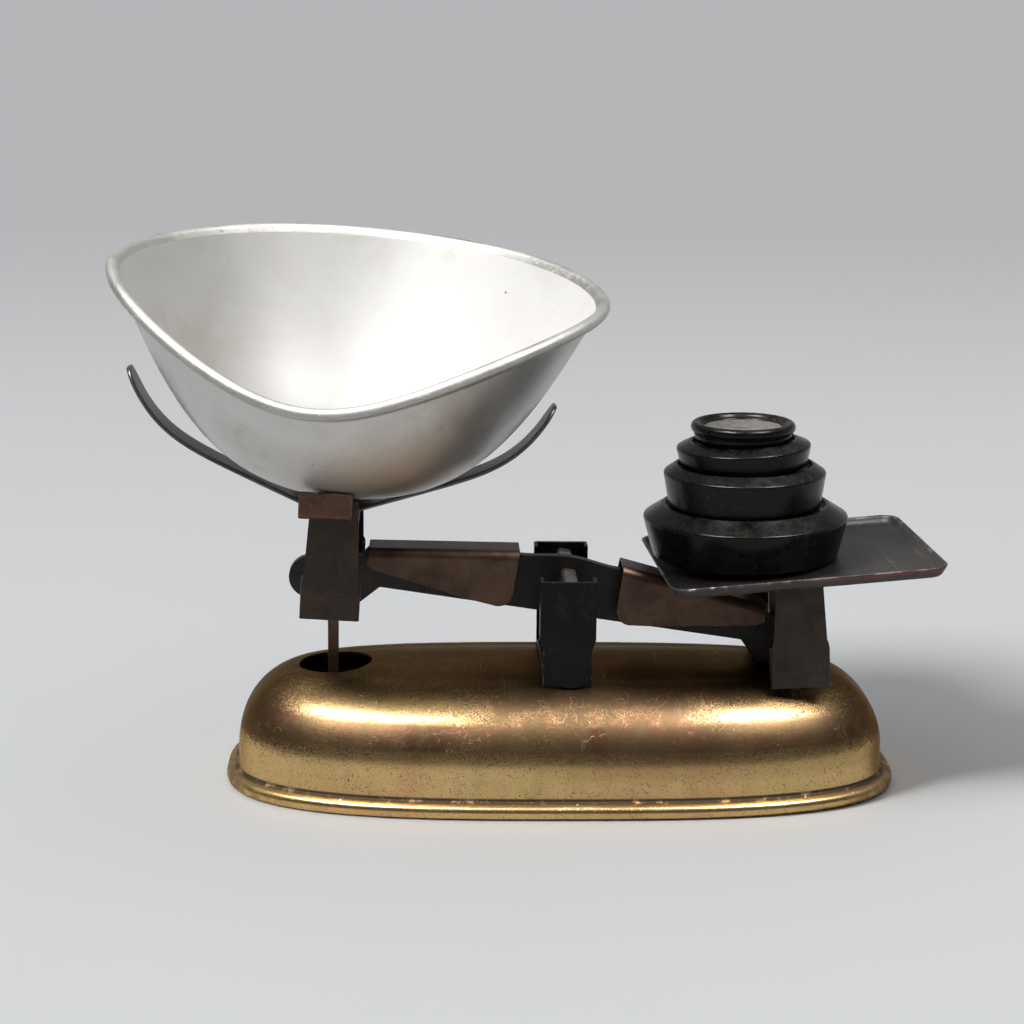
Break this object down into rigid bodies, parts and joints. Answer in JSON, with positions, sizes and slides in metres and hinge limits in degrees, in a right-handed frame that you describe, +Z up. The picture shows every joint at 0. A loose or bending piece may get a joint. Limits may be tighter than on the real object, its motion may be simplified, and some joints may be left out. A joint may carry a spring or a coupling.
{
  "type": "kitchen balance scale",
  "caption": "Counter balance scale: a rocking beam on a brass-plated base, with a loose scoop pan and a tray of nested iron weights.",
  "frame": {"origin": "centre of the base's foot ring, on the surface that the scale stands on", "axes": "+X to the weight tray, +Y to the back, +Z up"},
  "size_m": [0.3766, 0.2082, 0.2464],
  "materials": {
    "brass_plate": "yellow brass plating, polished on the wall, speckled with brown tarnish on the shoulder",
    "black_enamel": "semi-gloss black paint with chipped edges",
    "bare_steel": "worn bare steel",
    "dark_steel": "dark grey-black lacquered steel",
    "bronzed_steel": "brown-bronze lacquer over steel, worn on edges",
    "strap_steel": "dark grey steel",
    "tray_enamel": "dark grey-brown enamel with dust and worn edges",
    "aluminium": "satin aluminium, scuffed outside",
    "black_iron": "semi-gloss black paint over cast iron",
    "lead": "dull beige-grey lead"
  },
  "bodies": {
    "base": {"base_shell": "brass_plate", "fulcrum_stand": "black_enamel", "front_guard": "black_enamel", "rear_guard": "black_enamel", "front_fulcrum_bearing": "bare_steel", "rear_fulcrum_bearing": "bare_steel", "stand_rivets": "black_enamel", "check_bracket": "black_enamel", "check_pin": "bare_steel"},
    "beam": {"beam_plate": "dark_steel", "left_saddle": "bronzed_steel", "right_saddle": "bronzed_steel", "fulcrum_knife": "bare_steel", "left_knife": "bare_steel", "right_knife": "bare_steel"},
    "pan_carrier": {"left_carrier": "bronzed_steel", "left_bearings": "bare_steel", "front_seat_lip": "bronzed_steel", "rear_seat_lip": "bronzed_steel", "pan_strap": "strap_steel", "strap_rivets": "bare_steel", "left_stem": "bronzed_steel"},
    "tray_carrier": {"right_carrier": "bronzed_steel", "right_bearings": "bare_steel", "weight_tray": "tray_enamel", "tray_rivets": "bare_steel", "right_stem": "bronzed_steel"},
    "check_link": {"check_link_front": "dark_steel", "check_link_rear": "dark_steel", "check_bush": "bare_steel", "left_link_pin": "bare_steel", "right_link_pin": "bare_steel"},
    "pan": {"pan_bowl": "aluminium"},
    "poise_2lb": {"weight_2lb": "black_iron", "lead_plug_2lb": "lead"},
    "poise_1lb": {"weight_1lb": "black_iron", "lead_plug_1lb": "lead"},
    "poise_8oz": {"weight_8oz": "black_iron", "lead_plug_8oz": "lead"},
    "poise_4oz": {"weight_4oz": "black_iron", "lead_plug_4oz": "lead"}
  },
  "joints": [
    {"name": "beam_tilt", "type": "hinge", "parent": "base", "child": "beam", "pos_m": [0.001, 0, 0.086], "axis": [0, 1, 0], "range_deg": [-16.8, 0]},
    {"name": "pan_carrier_pivot", "type": "hinge", "parent": "beam", "child": "pan_carrier", "pos_m": [-0.10558, 0, 0.09668], "axis": [0, 1, 0], "range_deg": [0, 16.8]},
    {"name": "tray_carrier_pivot", "type": "hinge", "parent": "beam", "child": "tray_carrier", "pos_m": [0.10612, 0, 0.06542], "axis": [0, 1, 0], "range_deg": [0, 16.8]},
    {"name": "check_link_pivot", "type": "hinge", "parent": "base", "child": "check_link", "pos_m": [0.001, 0, 0.029], "axis": [0, 1, 0], "range_deg": [-16.8, 0]},
    {"name": "pan_lift", "type": "slide", "parent": "pan_carrier", "child": "pan", "axis": [0, 0, 1], "range_m": [0, 0.09]},
    {"name": "poise_2lb_lift", "type": "slide", "parent": "tray_carrier", "child": "poise_2lb", "axis": [-0.0209, 0, 0.9998], "range_m": [0, 0.06]},
    {"name": "poise_1lb_lift", "type": "slide", "parent": "poise_2lb", "child": "poise_1lb", "axis": [-0.0209, 0, 0.9998], "range_m": [0, 0.04]},
    {"name": "poise_8oz_lift", "type": "slide", "parent": "poise_1lb", "child": "poise_8oz", "axis": [-0.0523, 0, 0.9986], "range_m": [0, 0.04]},
    {"name": "poise_4oz_lift", "type": "slide", "parent": "poise_8oz", "child": "poise_4oz", "axis": [-0.014, 0, 0.9999], "range_m": [0, 0.04]}
  ],
  "couplings": [
    {"joint": "pan_carrier_pivot", "follows": "beam_tilt", "ratio": -1},
    {"joint": "tray_carrier_pivot", "follows": "beam_tilt", "ratio": -1},
    {"joint": "check_link_pivot", "follows": "beam_tilt", "ratio": 1}
  ]
}
